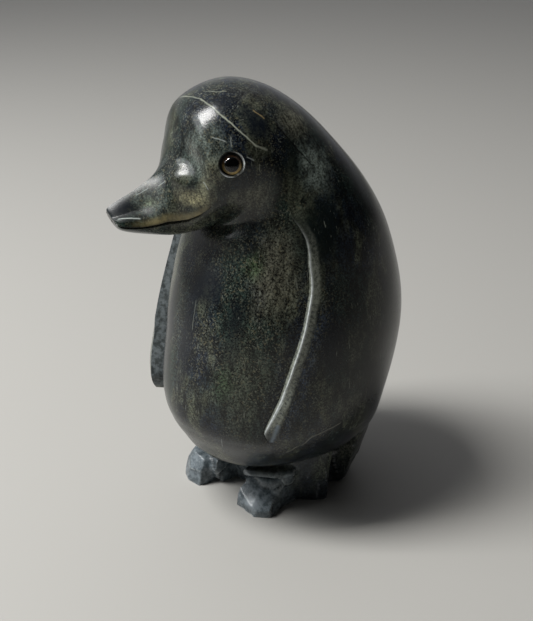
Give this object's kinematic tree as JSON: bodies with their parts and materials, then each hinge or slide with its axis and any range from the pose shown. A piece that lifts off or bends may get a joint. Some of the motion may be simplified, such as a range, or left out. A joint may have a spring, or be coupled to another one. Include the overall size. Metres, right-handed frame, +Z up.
{
  "type": "soapstone bird carving",
  "caption": "Polished dark green soapstone penguin standing on faceted feet, head turned aside, with inset domed glass eyes.",
  "frame": {"origin": "middle of the bounding box, on the surface the bird stands on", "axes": "+Z up; the bird's body faces -Y and its left side is +X, while its head is turned about 22 degrees to its own right"},
  "size_m": [0.1016, 0.1191, 0.1764],
  "materials": {
    "stone": "polished, with chiselled feet left dull",
    "eye_glass": "clear glass dome over a brown iris and black pupil"
  },
  "bodies": {
    "root": {"stone_penguin": "stone", "left_eye": "eye_glass", "right_eye": "eye_glass"}
  },
  "joints": []
}
